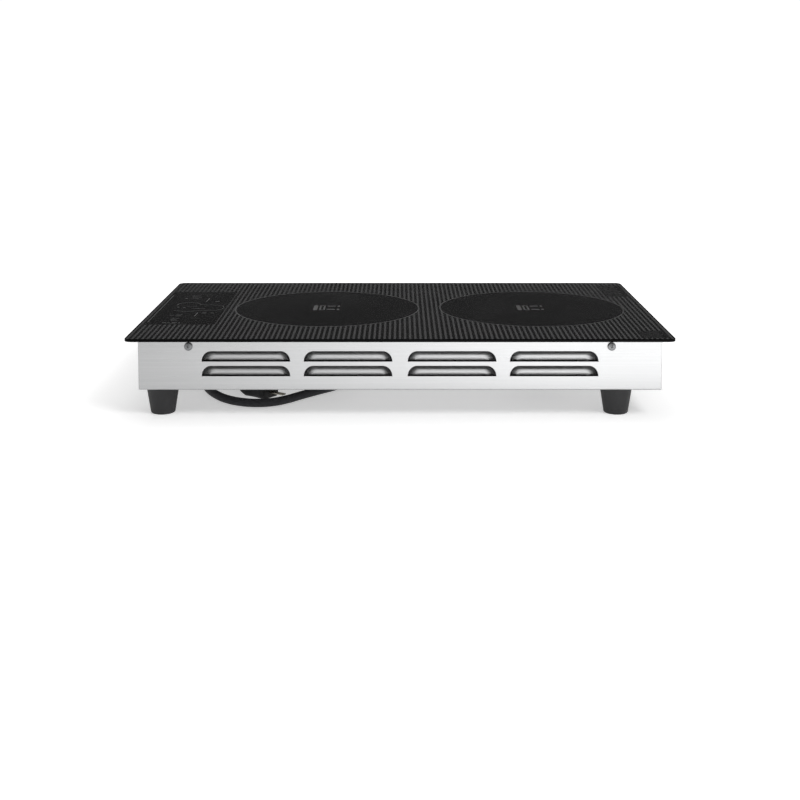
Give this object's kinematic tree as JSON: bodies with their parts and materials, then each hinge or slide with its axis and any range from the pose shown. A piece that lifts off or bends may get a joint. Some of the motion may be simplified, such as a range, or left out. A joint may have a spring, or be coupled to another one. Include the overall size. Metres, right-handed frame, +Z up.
{
  "type": "induction cooktop",
  "caption": "Portable electric induction cooktop: black glass top with round cooking zones and touch controls, louvred stainless housing, rubber feet, cord and plug.",
  "frame": {"origin": "on the floor, under the centre of the glass", "axes": "+X along the long side, away from the touch controls; -Y is the front; +Z up"},
  "size_m": [0.59, 0.4418, 0.088],
  "materials": {
    "black_glass": "polished black glass with a fine printed pattern",
    "stainless": "fine brushed stainless steel",
    "plated_steel": "bright zinc plate",
    "black_rubber": "matt black rubber",
    "silicone": "matt silicone",
    "cord_jacket": "satin black cord jacket",
    "black_plastic": "fine moulded texture",
    "white_plastic": "satin moulded",
    "copper": "enamelled copper wire",
    "ferrite": "matt sintered ferrite",
    "mica": "pressed mica sheet",
    "board": "green solder mask",
    "aluminium": "mill finish"
  },
  "bodies": {
    "cooktop": {"glass_top": "black_glass", "glass_seal": "silicone", "glass_frame": "plated_steel", "housing_pan": "stainless", "foot_front_left": "black_rubber", "foot_screw_front_left": "plated_steel", "foot_rear_left": "black_rubber", "foot_screw_rear_left": "plated_steel", "foot_front_right": "black_rubber", "foot_screw_front_right": "plated_steel", "foot_rear_right": "black_rubber", "foot_screw_rear_right": "plated_steel", "case_screw_front_left": "plated_steel", "case_screw_front_right": "plated_steel", "case_screw_rear_left": "plated_steel", "case_screw_rear_right": "plated_steel", "case_screw_left_end": "plated_steel", "case_screw_right_end": "plated_steel", "coil_bracket_left": "aluminium", "heat_sink_left": "aluminium", "coil_carrier_left": "black_plastic", "fan_frame_left": "black_plastic", "coil_winding_left": "copper", "insulating_disc_left": "mica", "heat_sensor_left": "white_plastic", "capacitor_left": "white_plastic", "ferrite_bar_left_1": "ferrite", "ferrite_bar_left_2": "ferrite", "ferrite_bar_left_3": "ferrite", "ferrite_bar_left_4": "ferrite", "power_board_left": "board", "coil_bracket_right": "aluminium", "heat_sink_right": "aluminium", "coil_carrier_right": "black_plastic", "fan_frame_right": "black_plastic", "coil_winding_right": "copper", "insulating_disc_right": "mica", "heat_sensor_right": "white_plastic", "capacitor_right": "white_plastic", "ferrite_bar_right_1": "ferrite", "ferrite_bar_right_2": "ferrite", "ferrite_bar_right_3": "ferrite", "ferrite_bar_right_4": "ferrite", "power_board_right": "board", "filter_board": "board", "touch_board": "board", "filter_choke": "copper", "terminal_block": "white_plastic", "touch_tray": "black_plastic", "touch_light_guide": "black_plastic", "plug": "black_plastic", "cord_gland": "black_rubber", "cord_lead": "cord_jacket", "cord_tail": "cord_jacket", "cord_coil": "cord_jacket"},
    "left_rotor": {"fan_rotor_left": "black_plastic"},
    "right_rotor": {"fan_rotor_right": "black_plastic"}
  },
  "joints": [
    {"name": "left_fan_spin", "type": "hinge", "parent": "cooktop", "child": "left_rotor", "pos_m": [-0.0872, -0.08, 0.0423], "axis": [0, 0, 1], "continuous": true},
    {"name": "right_fan_spin", "type": "hinge", "parent": "cooktop", "child": "right_rotor", "pos_m": [0.1576, -0.08, 0.0423], "axis": [0, 0, 1], "continuous": true}
  ]
}
